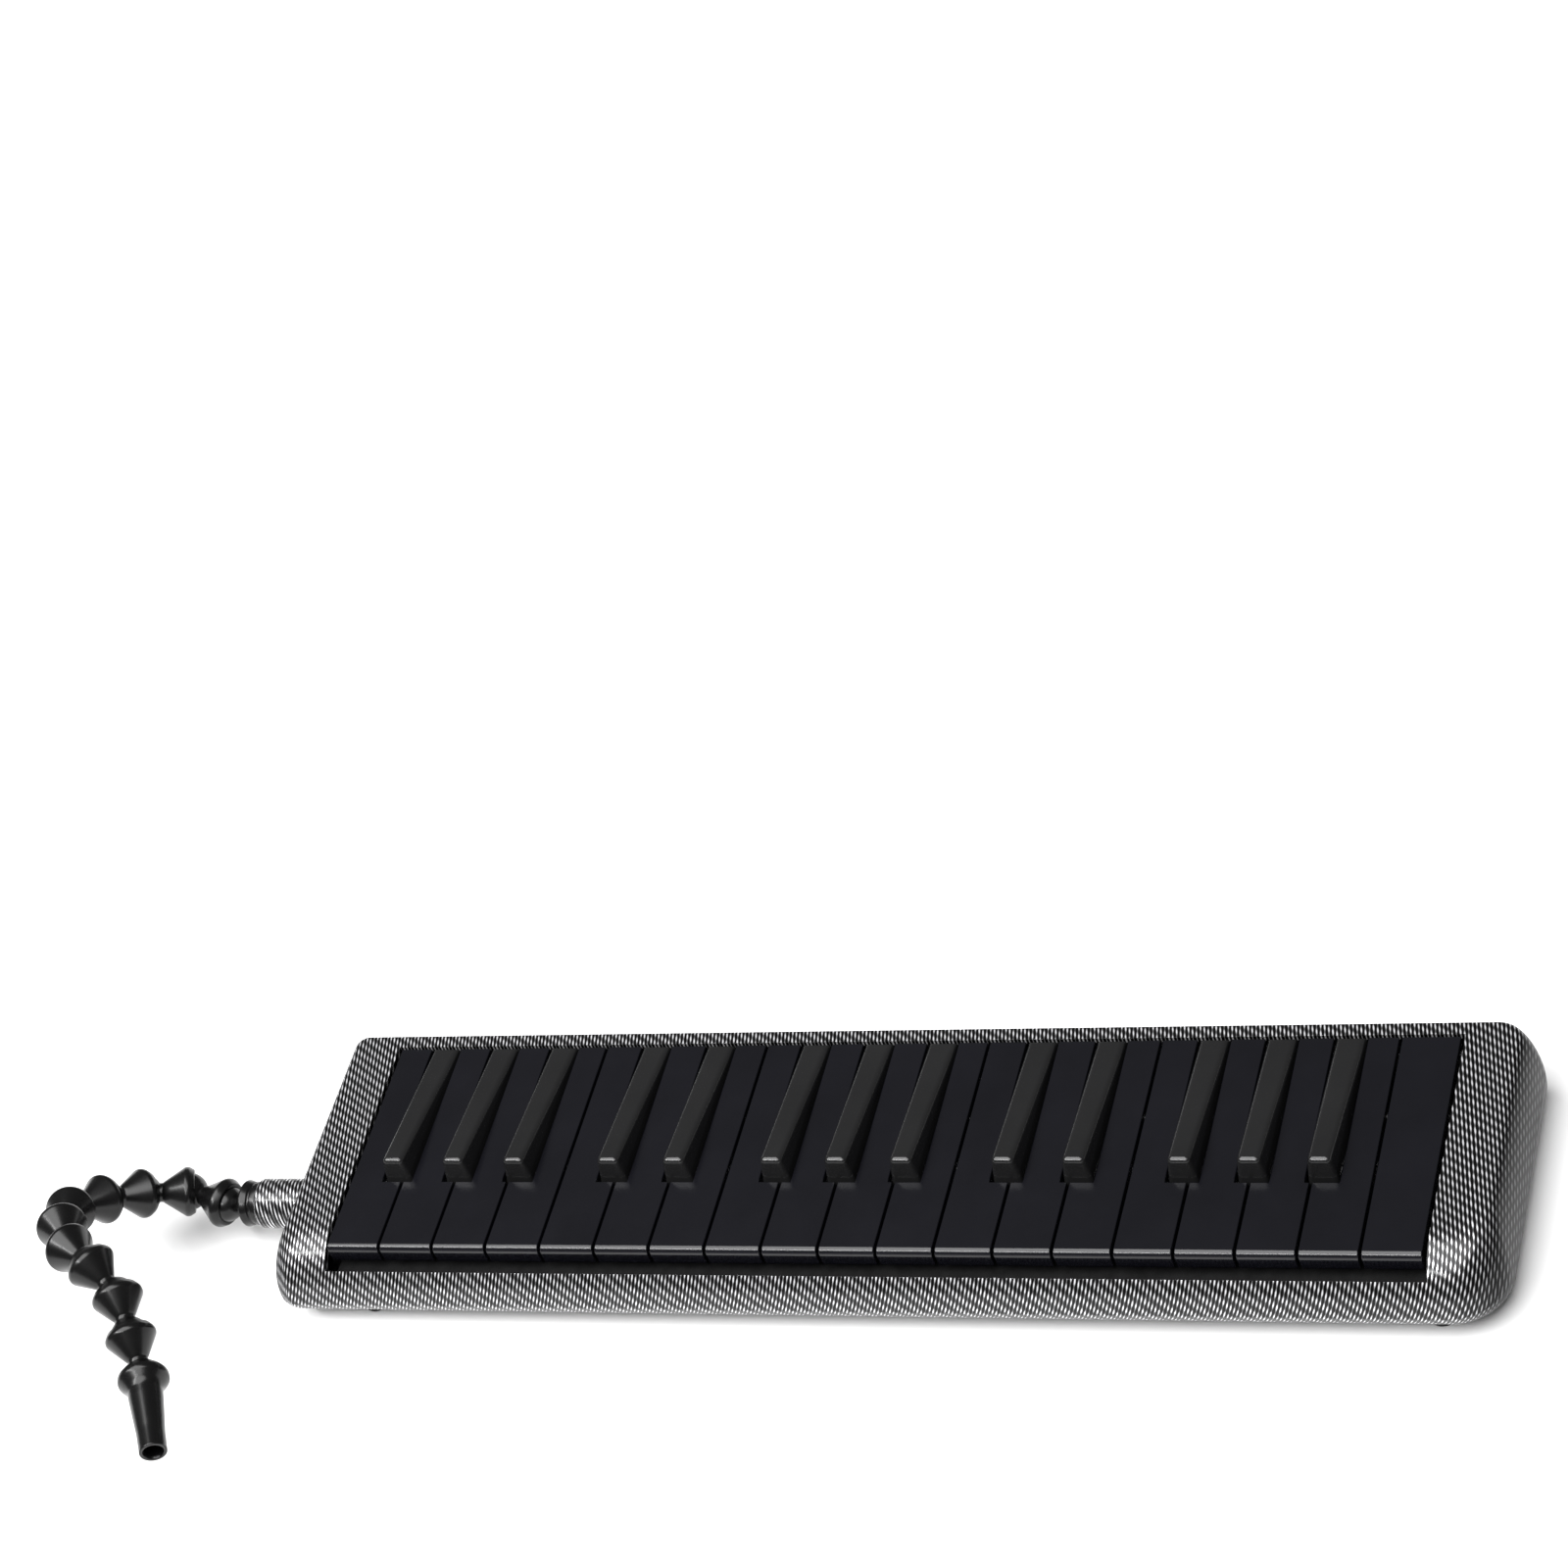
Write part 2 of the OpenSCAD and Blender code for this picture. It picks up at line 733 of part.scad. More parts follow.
top_cover();
bottom_cover();
key_bed();
key_axle();
spring_comb();
key_felts();
reed_plate_bass();
reed_plate_treble();
reeds();
plate_screws();
chamber_gasket();
wind_chamber();
drain_button();
drain_spring();
case_screws();
rubber_feet();
tube_plug();
mouthpiece();
for (i = [0 : LINKS - 1])
    tube_link(i);
for (k = [0 : KEYS - 1])
    key(k);
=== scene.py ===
"""Looks of the melodica: weave-printed case, black keys, ball-jointed blowing tube."""
import json
import math

import bmesh
import bpy
from mathutils import Matrix, Vector


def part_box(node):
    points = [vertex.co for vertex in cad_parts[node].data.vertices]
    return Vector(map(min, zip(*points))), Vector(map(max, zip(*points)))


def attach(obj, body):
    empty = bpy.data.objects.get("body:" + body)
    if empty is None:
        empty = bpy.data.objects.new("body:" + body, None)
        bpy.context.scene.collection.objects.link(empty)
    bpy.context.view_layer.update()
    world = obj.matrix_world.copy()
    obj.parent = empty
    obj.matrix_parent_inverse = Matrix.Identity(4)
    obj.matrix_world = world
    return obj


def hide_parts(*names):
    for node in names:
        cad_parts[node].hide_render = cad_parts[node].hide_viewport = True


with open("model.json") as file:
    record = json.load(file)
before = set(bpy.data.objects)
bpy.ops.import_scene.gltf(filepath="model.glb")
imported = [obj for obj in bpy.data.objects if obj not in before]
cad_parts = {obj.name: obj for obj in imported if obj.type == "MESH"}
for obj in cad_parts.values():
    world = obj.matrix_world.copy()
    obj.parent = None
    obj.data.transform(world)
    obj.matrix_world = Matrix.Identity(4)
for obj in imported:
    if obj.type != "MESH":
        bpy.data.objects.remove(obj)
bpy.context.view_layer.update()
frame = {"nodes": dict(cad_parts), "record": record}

MM = 0.001
JOINTS = {j["name"]: j for j in frame["record"]["behaviour"]["joints"]}

# ---------------------------------------------------------------- sizes, in millimetres


def span(node):
    """A CAD node's lowest and highest corners, in millimetres."""
    low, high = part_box(node)
    return Vector(low) / MM, Vector(high) / MM


cover_low, cover_high = span("top_cover")
shell_low, shell_high = span("bottom_cover")
END_X = shell_high.x
FRONT_Y = cover_low.y
BACK_Y = cover_high.y
TOP_Z = cover_high.z
WALL = 2.2
NOSE_R = 20.0
BELLY_R = 12.0
BASS_CORNER_R = 7.0
TREBLE_CORNER_R = 18.0
BASS_BACK_R = 4.0
TREBLE_BACK_R = 8.0
TOP_EDGE_R = 1.3
UNDER_EDGE_R = 2.0
# the ends swell past the CAD by END_SWELL at their fullest and draw in above and below
END_SWELL = 1.2
END_FULL_Z = 11.0
END_TOP_IN = 6.0
END_UNDER_IN = 3.0
SEAM_FRONT_Z = 3.2
SEAM_BACK_Z = 10.5
SEAM_GAP = 0.12
NOSE_Y = FRONT_Y + NOSE_R
NOSE_Z = TOP_Z - NOSE_R
BELLY_Y = FRONT_Y + BELLY_R

KEY_X = {
    n: JOINTS[n + "_press"]["pos_m"][0] / MM
    for n in frame["nodes"] if n.startswith("key_") and n + "_press" in JOINTS
}
KEYS = sorted(KEY_X, key=KEY_X.get)
SHARPS = [k for k in KEYS if "s" in k[len("key_"):]]
NATURALS = [k for k in KEYS if k not in SHARPS]
ROD = Vector(JOINTS[KEYS[0] + "_press"]["pos_m"]) / MM
LINKS = sorted(n for n in frame["nodes"] if n.startswith("tube_link_"))
INLET = Vector(JOINTS["tube_swivel"]["pos_m"]) / MM
BOSS_R = 8.7
INLET_R = 5.5


# ---------------------------------------------------------------- camera

CAMERA_AT = (0.524, -0.8242, 1.0589)
CAMERA_TURN = (45.795, 17.734, 14.658)
CAMERA_LENS = 99.0


def make_camera():
    data = bpy.data.cameras.new("camera")
    data.lens = CAMERA_LENS
    data.sensor_width = 36
    data.clip_start = 0.05
    data.clip_end = 30
    cam = bpy.data.objects.new("camera", data)
    cam.location = CAMERA_AT
    cam.rotation_euler = [math.radians(a) for a in CAMERA_TURN]
    bpy.context.scene.collection.objects.link(cam)
    bpy.context.scene.camera = cam


make_camera()


# ---------------------------------------------------------------- materials


class Nodes:
    """Builds one material's node tree in few words."""

    def __init__(self, name):
        self.material = bpy.data.materials.new(name)
        self.material.use_nodes = True
        self.tree = self.material.node_tree
        self.tree.nodes.clear()
        self.out = self.add("ShaderNodeOutputMaterial")
        self.bsdf = self.add("ShaderNodeBsdfPrincipled")
        self.link(self.bsdf.outputs[0], self.out.inputs[0])

    def add(self, kind, **settings):
        node = self.tree.nodes.new(kind)
        for key, value in settings.items():
            setattr(node, key, value)
        return node

    def link(self, a, b):
        self.tree.links.new(a, b)

    def feed(self, socket, value):
        if isinstance(value, bpy.types.NodeSocket):
            self.link(value, socket)
        else:
            socket.default_value = value

    def set(self, **values):
        for key, value in values.items():
            self.feed(self.bsdf.inputs[key.replace("_", " ")], value)

    def math(self, op, a, b=0.0, c=0.0, clamp=False):
        node = self.add("ShaderNodeMath", operation=op, use_clamp=clamp)
        for socket, value in zip(node.inputs, (a, b, c)):
            self.feed(socket, value)
        return node.outputs[0]

    def dot(self, vector, weights):
        node = self.add("ShaderNodeVectorMath", operation="DOT_PRODUCT")
        self.link(vector, node.inputs[0])
        node.inputs[1].default_value = weights
        return node.outputs["Value"]

    def place(self, scale=(1, 1, 1)):
        coords = self.add("ShaderNodeTexCoord")
        mapping = self.add("ShaderNodeMapping")
        mapping.inputs["Scale"].default_value = scale
        self.link(coords.outputs["Object"], mapping.inputs[0])
        return mapping.outputs[0]

    def noise(self, scale, detail=3.0, rough=0.55, stretch=(1, 1, 1), at=None):
        node = self.add("ShaderNodeTexNoise")
        self.link(at or self.place(stretch), node.inputs["Vector"])
        node.inputs["Scale"].default_value = scale
        node.inputs["Detail"].default_value = detail
        node.inputs["Roughness"].default_value = rough
        return node.outputs["Fac"]

    def ramp(self, fac, stops, mode="LINEAR"):
        node = self.add("ShaderNodeValToRGB")
        node.color_ramp.interpolation = mode
        elements = node.color_ramp.elements
        while len(elements) > 1:
            elements.remove(elements[-1])
        for i, (at, colour) in enumerate(stops):
            element = elements[0] if i == 0 else elements.new(at)
            element.position = at
            element.color = (*colour, 1) if len(colour) == 3 else colour
        self.link(fac, node.inputs[0])
        return node.outputs[0]

    def spread(self, fac, low, high):
        node = self.add("ShaderNodeMapRange")
        self.link(fac, node.inputs[0])
        node.inputs["To Min"].default_value = low
        node.inputs["To Max"].default_value = high
        return node.outputs[0]

    def bump(self, height, distance, strength=1.0, after=None):
        node = self.add("ShaderNodeBump")
        node.inputs["Strength"].default_value = strength
        node.inputs["Distance"].default_value = distance
        self.link(height, node.inputs["Height"])
        if after is not None:
            self.link(after, node.inputs["Normal"])
        return node.outputs[0]


def grey(value):
    return (value, value, value * 1.03)


def plastic(name, low, high, rough, grain=900.0, grain_mm=0.02, wear=0.04, shine=0.5):
    """Moulded plastic: mottled colour, fine grain, gloss that varies with handling."""
    n = Nodes(name)
    clouds = n.noise(35.0, 4.0)
    n.set(
        Base_Color=n.ramp(clouds, [(0.3, low), (0.7, high)]),
        Roughness=n.spread(n.noise(60.0, 5.0, 0.65), rough - wear, rough + wear),
        Normal=n.bump(n.noise(grain, 2.0), grain_mm * MM, 0.5),
        Specular_IOR_Level=shine,
    )
    return n.material


# pitch of the print along its two thread directions, in cycles per millimetre
THREAD_ACROSS = (0.742, 0.142, 0.0)
THREAD_ALONG = (0.195, 0.298, 0.0)
THREAD_SHARE = 0.72
# share of the threads' brightness that the ends lose as painted shade, and share of the film's gloss
# that they lose
END_PAINTED_SHADE = 0.78
END_DULL = 0.92
# weight of the film's clear coat
FILM_COAT = 0.35


def weave_material():
    """A glossy film printed with a twill of silver threads on black.

    Its pattern follows the "weave" attribute: the place on the unrolled film, and how far round
    the end it is, from 0 to 1; the further round the end, the darker the threads, as painted shade.
    """
    n = Nodes("weave_film")
    at = n.add("ShaderNodeAttribute", attribute_name="weave").outputs["Vector"]
    turn = 2 * math.pi
    across = n.math("COSINE", n.math("MULTIPLY", n.dot(at, THREAD_ACROSS), turn))
    along = n.math("COSINE", n.math("MULTIPLY", n.dot(at, THREAD_ALONG), turn))
    mix = n.math("ADD", n.math("MULTIPLY", across, THREAD_SHARE),
                 n.math("MULTIPLY", along, 1 - THREAD_SHARE))
    fibre = n.math("MULTIPLY", n.math("SUBTRACT", n.noise(900.0, 2.0, 0.6, (1, 0.25, 1)), 0.5), 0.5)
    level = n.math("MULTIPLY_ADD", n.math("ADD", mix, fibre), 0.5, 0.5, clamp=True)
    end = n.dot(at, (0, 0, 1))
    threads = n.ramp(level, [
        (0.10, grey(0.0002)), (0.42, grey(0.0005)), (0.53, grey(0.003)), (0.63, grey(0.03)),
        (0.74, grey(0.17)), (0.85, grey(0.50)), (0.95, grey(0.90)),
    ])
    # painted shade: the thread colour is scaled down towards and over the ends
    painted_end_shade = n.add("ShaderNodeVectorMath", operation="SCALE")
    n.link(threads, painted_end_shade.inputs[0])
    n.link(n.math("MULTIPLY_ADD", end, -END_PAINTED_SHADE, 1.0), painted_end_shade.inputs["Scale"])
    gloss = n.math("MULTIPLY_ADD", end, -END_DULL, 1.0)
    n.set(
        Base_Color=painted_end_shade.outputs[0],
        Metallic=n.math("MULTIPLY", n.math("MULTIPLY_ADD", level, 1.6, -0.8, clamp=True), gloss),
        Roughness=n.spread(level, 0.30, 0.38),
        Specular_IOR_Level=0.1,
        Normal=n.bump(level, 0.03 * MM, 0.6),
        Coat_Weight=n.math("MULTIPLY", gloss, FILM_COAT),
        Coat_Roughness=0.14,
    )
    return n.material


def metal(name, colour, rough, stretch=(1, 1, 1), scale=120.0):
    n = Nodes(name)
    streaks = n.noise(scale, 5.0, 0.6, stretch)
    dark = tuple(c * 0.82 for c in colour)
    n.set(
        Base_Color=n.ramp(streaks, [(0.3, dark), (0.7, colour)]),
        Metallic=1.0,
        Roughness=n.spread(streaks, rough - 0.06, rough + 0.1),
        Normal=n.bump(streaks, 0.01 * MM, 0.4),
    )
    return n.material


def felt_material():
    n = Nodes("felt")
    fuzz = n.noise(1800.0, 6.0, 0.75)
    tufts = n.noise(260.0, 3.0)
    n.set(
        Base_Color=n.ramp(tufts, [(0.3, grey(0.003)), (0.7, grey(0.007))]),
        Roughness=0.95,
        Specular_IOR_Level=0.15,
        Sheen_Weight=0.04,
        Normal=n.bump(fuzz, 0.25 * MM, 0.9),
    )
    return n.material


def floor_material():
    n = Nodes("floor")
    n.set(
        Base_Color=n.ramp(n.noise(3.0, 2.0), [(0.2, (0.86, 0.86, 0.86)), (0.8, (0.89, 0.89, 0.89))]),
        Roughness=0.9,
        Specular_IOR_Level=0.1,
    )
    return n.material


WEAVE = weave_material()
SHELL = plastic("shell_plastic", grey(0.050), grey(0.066), 0.42, grain=700.0, grain_mm=0.05)
KEY = plastic("key_plastic", (0.0030, 0.0030, 0.0045), (0.0042, 0.0042, 0.0062), 0.20,
              grain=420.0, grain_mm=0.006, wear=0.04, shine=0.42)
SHARP = plastic("sharp_plastic", grey(0.0085), grey(0.0110), 0.19,
                grain=500.0, grain_mm=0.010, wear=0.03, shine=0.50)
TUBE = plastic("tube_plastic", grey(0.0020), grey(0.0032), 0.26,
               grain=300.0, grain_mm=0.008, wear=0.05, shine=0.36)
INNER = plastic("bed_plastic", grey(0.003), grey(0.005), 0.60, grain=800.0, grain_mm=0.05, shine=0.2)
CHAMBER = plastic("chamber_plastic", (0.50, 0.48, 0.42), (0.56, 0.54, 0.48), 0.45)
RUBBER = plastic("rubber", grey(0.012), grey(0.022), 0.80, grain=1400.0, grain_mm=0.06)
STEEL = metal("steel", (0.60, 0.60, 0.61), 0.26, (0.1, 1, 1))
PLATE = metal("plate_metal", (0.74, 0.75, 0.76), 0.34, (0.05, 1, 1))
BRASS = metal("reed_brass", (0.75, 0.52, 0.22), 0.28, (1, 0.08, 1))
FELT = felt_material()


# ---------------------------------------------------------------- mesh helpers


def finish_mesh(bm, name, material, angle=35.0):
    """Turns a bmesh in millimetres into a shaded object in metres."""
    bmesh.ops.recalc_face_normals(bm, faces=bm.faces)
    bmesh.ops.scale(bm, vec=(MM, MM, MM), verts=bm.verts)
    limit = math.radians(angle)
    for face in bm.faces:
        face.smooth = True
    for edge in bm.edges:
        edge.smooth = len(edge.link_faces) == 2 and edge.calc_face_angle() < limit
    mesh = bpy.data.meshes.new(name)
    bm.to_mesh(mesh)
    bm.free()
    mesh.materials.append(material)
    obj = bpy.data.objects.new(name, mesh)
    bpy.context.scene.collection.objects.link(obj)
    return obj


def bake_modifiers(obj):
    graph = bpy.context.evaluated_depsgraph_get()
    mesh = bpy.data.meshes.new_from_object(obj.evaluated_get(graph))
    old = obj.data
    obj.modifiers.clear()
    obj.data = mesh
    mesh.name = old.name
    bpy.data.meshes.remove(old)


def cut(obj, tool, operation):
    """Applies one exact boolean and throws the tool away."""
    mod = obj.modifiers.new("cut", "BOOLEAN")
    mod.operation = operation
    mod.solver = "EXACT"
    mod.object = tool
    bake_modifiers(obj)
    mesh = tool.data
    bpy.data.objects.remove(tool)
    bpy.data.meshes.remove(mesh)


def add_box(bm, low, high):
    made = bmesh.ops.create_cube(bm, size=1.0)["verts"]
    low, high = Vector(low), Vector(high)
    size = high - low
    bmesh.ops.scale(bm, vec=size, verts=made)
    bmesh.ops.translate(bm, vec=(low + high) / 2, verts=made)
    return made


def box_object(low, high, material):
    bm = bmesh.new()
    add_box(bm, low, high)
    return finish_mesh(bm, "tool", material)


def arc(centre, radius, start, end, steps):
    """Points on an arc, angles in degrees."""
    points = []
    for i in range(steps + 1):
        a = math.radians(start + (end - start) * i / steps)
        points.append((centre[0] + radius * math.cos(a), centre[1] + radius * math.sin(a)))
    return points


def fillet(corners, steps=5):
    """A polyline of (r, z, radius) corners with each corner rounded by its radius."""
    out = []
    count = len(corners)
    for i, (r, z, radius) in enumerate(corners):
        here = Vector((r, z))
        before = Vector(corners[(i - 1) % count][:2]) - here
        after = Vector(corners[(i + 1) % count][:2]) - here
        reach = min(radius, before.length * 0.45, after.length * 0.45)
        if reach < 0.02:
            out.append((r, z))
            continue
        a = here + before.normalized() * reach
        b = here + after.normalized() * reach
        for s in range(steps + 1):
            t = s / steps
            p = a * (1 - t) ** 2 + here * 2 * t * (1 - t) + b * t ** 2
            out.append((p.x, p.y))
    return out


def add_lathe(bm, profile, origin, direction, segments=56):
    """Spins a closed (r, z) profile round an axis; points with r = 0 close on it."""
    turn = Vector((0, 0, 1)).rotation_difference(Vector(direction)).to_matrix()
    rings = []
    for r, z in profile:
        count = 1 if r < 1e-6 else segments
        ring = []
        for i in range(count):
            a = 2 * math.pi * i / segments
            p = turn @ Vector((r * math.cos(a), r * math.sin(a), z)) + Vector(origin)
            ring.append(bm.verts.new(p))
        rings.append(ring)
    for i in range(len(rings)):
        a, b = rings[i], rings[(i + 1) % len(rings)]
        if len(a) == 1 and len(b) == 1:
            continue
        for s in range(segments):
            t = (s + 1) % segments
            loop = [a[s % len(a)], a[t % len(a)], b[t % len(b)], b[s % len(b)]]
            unique = list(dict.fromkeys(loop))
            if len(unique) > 2:
                bm.faces.new(unique)


def lathe_object(name, profile, origin, direction, material, segments=56, angle=30.0):
    bm = bmesh.new()
    add_lathe(bm, profile, origin, direction, segments)
    return finish_mesh(bm, name, material, angle)


def place(obj, body, slot, *nodes):
    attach(obj, body)
    if nodes:
        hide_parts(*nodes)


# ---------------------------------------------------------------- case


def edge_inset(z, inset):
    """How far the outline draws in at height z because its edges are rounded."""
    for radius, depth in ((TOP_EDGE_R, TOP_Z - inset - z), (UNDER_EDGE_R, z - inset)):
        if depth < radius:
            drop = radius - max(depth, 0.0)
            return radius - math.sqrt(max(radius ** 2 - drop ** 2, 0.0))
    return 0.0


def end_inset(z, inset):
    """How far the ends draw in at height z, measured from their fullest line."""
    if z >= END_FULL_Z:
        share, depth = (z - END_FULL_Z) / (TOP_Z - inset - END_FULL_Z), END_TOP_IN
    else:
        share, depth = (END_FULL_Z - z) / (END_FULL_Z - inset), END_UNDER_IN
    return depth * (1 - math.sqrt(max(1 - min(share, 1.0) ** 2, 0.0)))


def front_at(z, inset):
    """Front edge of the outline at height z: inside both the nose arc and the belly arc."""
    up, down = max(z - NOSE_Z, 0.0), max(BELLY_R - z, 0.0)
    nose = NOSE_Y - math.sqrt(max((NOSE_R - inset) ** 2 - up ** 2, 0.0))
    belly = BELLY_Y - math.sqrt(max((BELLY_R - inset) ** 2 - down ** 2, 0.0))
    return max(nose, belly)


def outline(z, inset, corner_steps=12):
    """The case's plan outline at height z, anticlockwise from the back right."""
    pull = edge_inset(z, inset)
    x = END_X + END_SWELL - inset - end_inset(z, inset)
    back = BACK_Y - inset - pull
    front = front_at(z, inset)
    bass, treble = BASS_CORNER_R - inset, TREBLE_CORNER_R - inset
    bass_back, treble_back = BASS_BACK_R - inset, TREBLE_BACK_R - inset
    points = arc((x - treble_back, back - treble_back), treble_back, 0, 90, corner_steps)
    points += arc((-x + bass_back, back - bass_back), bass_back, 90, 180, corner_steps)
    points += arc((-x + bass, front + bass), bass, 180, 270, corner_steps)
    points += arc((x - treble, front + treble), treble, 270, 360, corner_steps)
    return points


def heights(inset):
    """Heights of the rings: close together where the section curves."""
    low, high = inset, TOP_Z - inset
    levels = []
    for a in range(0, 91, 10):
        levels.append(BELLY_R - (BELLY_R - inset) * math.cos(math.radians(a)))
    for a in range(4, 91, 4):
        levels.append(NOSE_Z + (NOSE_R - inset) * math.sin(math.radians(a)))
    for a in range(15, 90, 15):
        levels.append(high - TOP_EDGE_R * (1 - math.sin(math.radians(a))))
        levels.append(low + UNDER_EDGE_R * (1 - math.sin(math.radians(a))))
    levels = sorted(min(max(z, low), high) for z in levels)
    out = [levels[0]]
    for z in levels[1:]:
        if z - out[-1] > 0.03:
            out.append(z)
    out[-1] = high
    return out


def block(name, inset, material):
    bm = bmesh.new()
    rings = []
    for z in heights(inset):
        rings.append([bm.verts.new((x, y, z)) for x, y in outline(z, inset)])
    for a, b in zip(rings, rings[1:]):
        for i in range(len(a)):
            j = (i + 1) % len(a)
            bm.faces.new((a[i], a[j], b[j], b[i]))
    bm.faces.new(rings[0][::-1])
    bm.faces.new(rings[-1])
    return finish_mesh(bm, name, material)


def seam_wedge(above, material):
    """Everything above, or below, the seam, which rises from front to back."""
    slope = (SEAM_BACK_Z - SEAM_FRONT_Z) / (BACK_Y - FRONT_Y)
    reach = 1.5 * BACK_Y
    far = 4 * TOP_Z if above else -4 * TOP_Z
    side = SEAM_GAP if above else -SEAM_GAP
    section = [
        (-reach, SEAM_FRONT_Z + slope * (-reach - FRONT_Y) + side),
        (reach, SEAM_FRONT_Z + slope * (reach - FRONT_Y) + side),
        (reach, far),
        (-reach, far),
    ]
    bm = bmesh.new()
    ends = []
    for x in (-1.5 * END_X, 1.5 * END_X):
        ends.append([bm.verts.new((x, y, z)) for y, z in section])
    bm.faces.new(ends[0])
    bm.faces.new(ends[1][::-1])
    for i in range(4):
        j = (i + 1) % 4
        bm.faces.new((ends[0][i], ends[0][j], ends[1][j], ends[1][i]))
    return finish_mesh(bm, "tool", material)


def soften(obj, width, angle=38.0, segments=2):
    """Rounds the sharp edges that the booleans left."""
    mod = obj.modifiers.new("soften", "BEVEL")
    mod.width = width * MM
    mod.segments = segments
    mod.limit_method = "ANGLE"
    mod.angle_limit = math.radians(angle)
    mod.use_clamp_overlap = True
    mod.harden_normals = False
    bake_modifiers(obj)


def reshade(obj, angle=32.0):
    bm = bmesh.new()
    bm.from_mesh(obj.data)
    bmesh.ops.remove_doubles(bm, verts=bm.verts, dist=0.004 * MM)
    limit = math.radians(angle)
    for face in bm.faces:
        face.smooth = True
    for edge in bm.edges:
        edge.smooth = len(edge.link_faces) == 2 and edge.calc_face_angle() < limit
    bm.to_mesh(obj.data)
    bm.free()


def even_normals(obj):
    """Lets the large faces keep their own shading; the rounded edges take up the turn."""
    mod = obj.modifiers.new("normals", "WEIGHTED_NORMAL")
    mod.keep_sharp = True
    bake_modifiers(obj)


# how the printed film turns as it is drawn down over the nose
FILM_SHEAR = 0.0114
# share of the drop over an end that the film covers unstretched
END_STRETCH = 0.4
# how far sideways a normal points where the end begins, and how much further where it is full
END_FROM = 0.2
END_OVER = 0.6
# how far back a normal points on the back wall
BACK_FACING = 0.7
# angle of the belly arc at the height where the nose arc ends
UNDER_START = math.asin((BELLY_R - NOSE_Z) / BELLY_R)


def on_film(p, n):
    """Where a point with a normal lies on the unrolled film, and how far round the end it is."""
    u, v = p.x, p.y
    if n.y > BACK_FACING:
        v = BACK_Y + TOP_Z - p.z
    elif p.y < NOSE_Y and n.z < 0.999:
        if p.z >= NOSE_Z:
            drawn = NOSE_R * math.atan2(NOSE_Y - p.y, p.z - NOSE_Z)
        else:
            round_under = math.atan2(BELLY_R - p.z, BELLY_Y - p.y) - UNDER_START
            drawn = NOSE_R * math.pi / 2 + BELLY_R * round_under
        u, v = p.x + FILM_SHEAR * drawn ** 2, NOSE_Y - drawn
    end = min(max((abs(n.x) - END_FROM) / END_OVER, 0.0), 1.0)
    round_end = p.x + math.copysign(END_STRETCH * (TOP_Z - p.z), n.x)
    return u + (round_end - u) * end, v + (p.y - v) * end, end


def lay_film(obj):
    """Stores on_film's answer for every face corner: two places in millimetres, one share."""
    mesh = obj.data
    film = mesh.attributes.new("weave", "FLOAT_VECTOR", "CORNER")
    for face in mesh.polygons:
        for c in face.loop_indices:
            p = mesh.vertices[mesh.loops[c].vertex_index].co / MM
            n = mesh.corner_normals[c].vector
            film.data[c].vector = on_film(p, n)


# room round the keys at the sides, in front and behind
WELL_SIDE = 1.3
WELL_FRONT = 4.8
WELL_BACK = 1.0
# how far above the nose arc's centre the well's cut starts
WELL_FLOOR_UP = 6.0


def key_well():
    """The opening that the keys stand in, read from the keys' own boxes."""
    low_end = span(NATURALS[0])[0]
    high_end = span(NATURALS[-1])[1]
    return (
        (low_end.x - WELL_SIDE, low_end.y - WELL_FRONT, NOSE_Z + WELL_FLOOR_UP),
        (high_end.x + WELL_SIDE, high_end.y + WELL_BACK, TOP_Z + 20),
    )


def make_top_cover():
    cover = block("cover_shell", 0.0, WEAVE)
    cut(cover, block("tool", WALL, INNER), "DIFFERENCE")
    cut(cover, seam_wedge(True, INNER), "INTERSECT")
    cut(cover, box_object(*key_well(), INNER), "DIFFERENCE")
    boss_l = -END_X - INLET.x
    ring = fillet([
        (BOSS_R, boss_l + 0.8 * WALL, 0), (BOSS_R, 0, 0.9),
        (INLET_R + 0.4, 0, 0.5), (0, 0.4, 0), (0, boss_l + 0.8 * WALL, 0),
    ])
    cut(cover, lathe_object("tool", ring, INLET, (1, 0, 0), WEAVE), "UNION")
    bore = [(0, -3), (INLET_R, -3), (INLET_R, boss_l + 4), (0, boss_l + 4)]
    cut(cover, lathe_object("tool", bore, INLET, (1, 0, 0), WEAVE), "DIFFERENCE")
    soften(cover, 0.45)
    reshade(cover)
    even_normals(cover)
    lay_film(cover)
    place(cover, "case", "weave_shell", "top_cover")


def corners_of(node, reach):
    """The x, y of the four pieces of a group that sit in its box's corners."""
    low, high = span(node)
    xs = (low.x + reach, high.x - reach)
    ys = (low.y + reach, high.y - reach)
    return [(x, y) for x in xs for y in ys]


SCREW_HEAD_R = 2.4
FOOT_R = 5.0
FOOT_H = 3.0
FOOT_SEAT = 1.0
FEET = corners_of("rubber_feet", FOOT_R)
BED_SCREWS = [(-73.5, -30.0), (66.5, -30.0)]
SCREWS = corners_of("case_screws", SCREW_HEAD_R) + BED_SCREWS

# the drain knob: its cap, stem and valve disc, and the hole in the shell
KNOB_H = 2.9
KNOB_STEM_R = 1.8
KNOB_DISC_R = 3.6
KNOB_DISC_T = 0.8
KNOB_HOLE_R = 4.7


